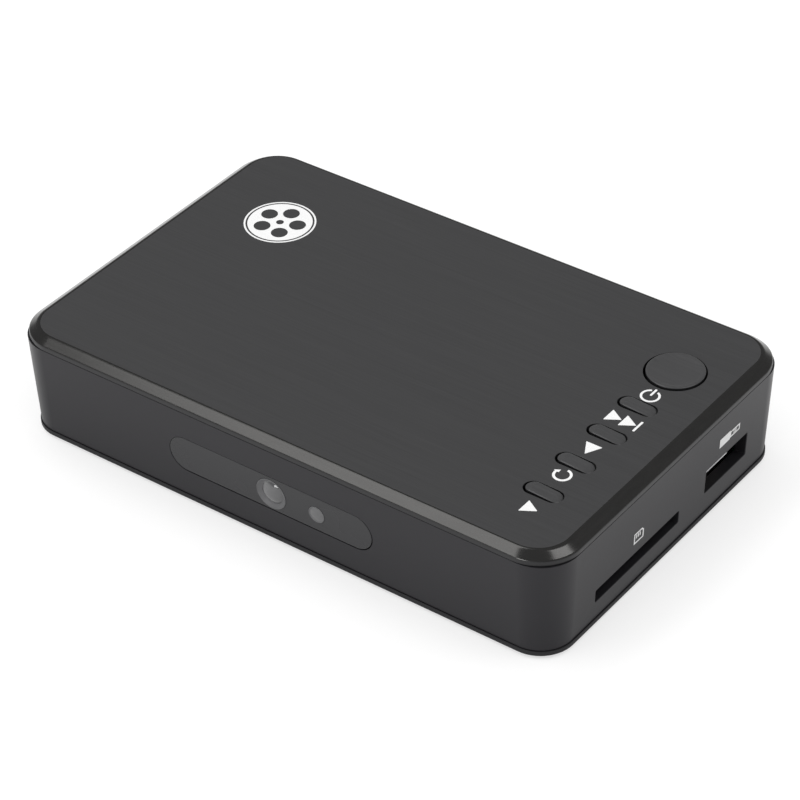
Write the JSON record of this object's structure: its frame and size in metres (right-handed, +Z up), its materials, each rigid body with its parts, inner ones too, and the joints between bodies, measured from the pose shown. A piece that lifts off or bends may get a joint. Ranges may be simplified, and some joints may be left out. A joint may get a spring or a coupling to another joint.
{
  "type": "media player",
  "caption": "Slim box-shaped media player with a bevelled metal top, push buttons, an infra-red window, a card slot and a plug socket in one end and rear sockets.",
  "frame": {"origin": "middle of the footprint, at the soles of the feet", "axes": "+X along the long side to the end with the card slot, -Y to the front with the infra-red window, +Z up"},
  "size_m": [0.118, 0.075, 0.023],
  "materials": {
    "brushed_top": "brushed along the length, dark anodised, with a bright bevel",
    "satin_case": "fine satin moulding",
    "base_plastic": "fine satin moulding",
    "foot_rubber": "matt",
    "screw_steel": "zinc plated",
    "window_plastic": "smoked, half gloss",
    "clear_lens": "clear to frosted",
    "button_plastic": "brushed finish like the top",
    "plunger_plastic": "plain",
    "black_plastic": "plain moulding",
    "board_laminate": "green solder mask",
    "ribbon_film": "white film with printed tracks",
    "cream_plastic": "plain moulding",
    "chip_resin": "matt moulded resin",
    "sink_aluminium": "extruded",
    "can_aluminium": "drawn can",
    "ferrite": "ground ferrite",
    "chip_ceramic": "fired ceramic",
    "contact_gold": "plated",
    "socket_steel": "tinned sheet"
  },
  "bodies": {
    "case": {"top_cover": "brushed_top", "body_shell": "satin_case", "base_cover": "base_plastic", "foot_front_left": "foot_rubber", "foot_front_right": "foot_rubber", "foot_rear_left": "foot_rubber", "foot_rear_right": "foot_rubber", "case_screws": "screw_steel", "ir_window": "window_plastic", "ir_lens": "clear_lens", "led_lens": "clear_lens", "ir_receiver": "chip_resin", "status_led": "clear_lens", "power_switch": "black_plastic", "next_switch": "black_plastic", "down_switch": "black_plastic", "return_switch": "black_plastic", "play_switch": "black_plastic", "key_board": "board_laminate", "key_board_screws": "screw_steel", "key_ribbon": "ribbon_film", "ribbon_connectors": "cream_plastic", "main_board": "board_laminate", "board_screws": "screw_steel", "processor": "chip_resin", "heat_sink": "sink_aluminium", "memory_chips": "chip_resin", "flash_chip": "chip_resin", "crystal": "socket_steel", "capacitors": "can_aluminium", "power_coil": "ferrite", "chip_resistors": "chip_ceramic", "sd_socket": "black_plastic", "sd_shield": "socket_steel", "sd_contacts": "contact_gold", "usb_shell": "socket_steel", "usb_tongue": "cream_plastic", "usb_contacts": "contact_gold", "hdmi_shell": "socket_steel", "hdmi_tongue": "black_plastic", "hdmi_contacts": "contact_gold", "av_jack": "black_plastic", "dc_jack": "black_plastic", "dc_pin": "socket_steel"},
    "power_key": {"power_button": "button_plastic", "power_plunger": "plunger_plastic"},
    "next_key": {"next_button": "button_plastic", "next_plunger": "plunger_plastic"},
    "down_key": {"down_button": "button_plastic", "down_plunger": "plunger_plastic"},
    "return_key": {"return_button": "button_plastic", "return_plunger": "plunger_plastic"},
    "play_key": {"play_button": "button_plastic", "play_plunger": "plunger_plastic"}
  },
  "joints": [
    {"name": "power_press", "type": "slide", "parent": "case", "child": "power_key", "axis": [0, 0, -1], "range_m": [0, 0.0005], "stiffness_N_per_m": 800},
    {"name": "next_press", "type": "slide", "parent": "case", "child": "next_key", "axis": [0, 0, -1], "range_m": [0, 0.0005], "stiffness_N_per_m": 800},
    {"name": "down_press", "type": "slide", "parent": "case", "child": "down_key", "axis": [0, 0, -1], "range_m": [0, 0.0005], "stiffness_N_per_m": 800},
    {"name": "return_press", "type": "slide", "parent": "case", "child": "return_key", "axis": [0, 0, -1], "range_m": [0, 0.0005], "stiffness_N_per_m": 800},
    {"name": "play_press", "type": "slide", "parent": "case", "child": "play_key", "axis": [0, 0, -1], "range_m": [0, 0.0005], "stiffness_N_per_m": 800}
  ]
}
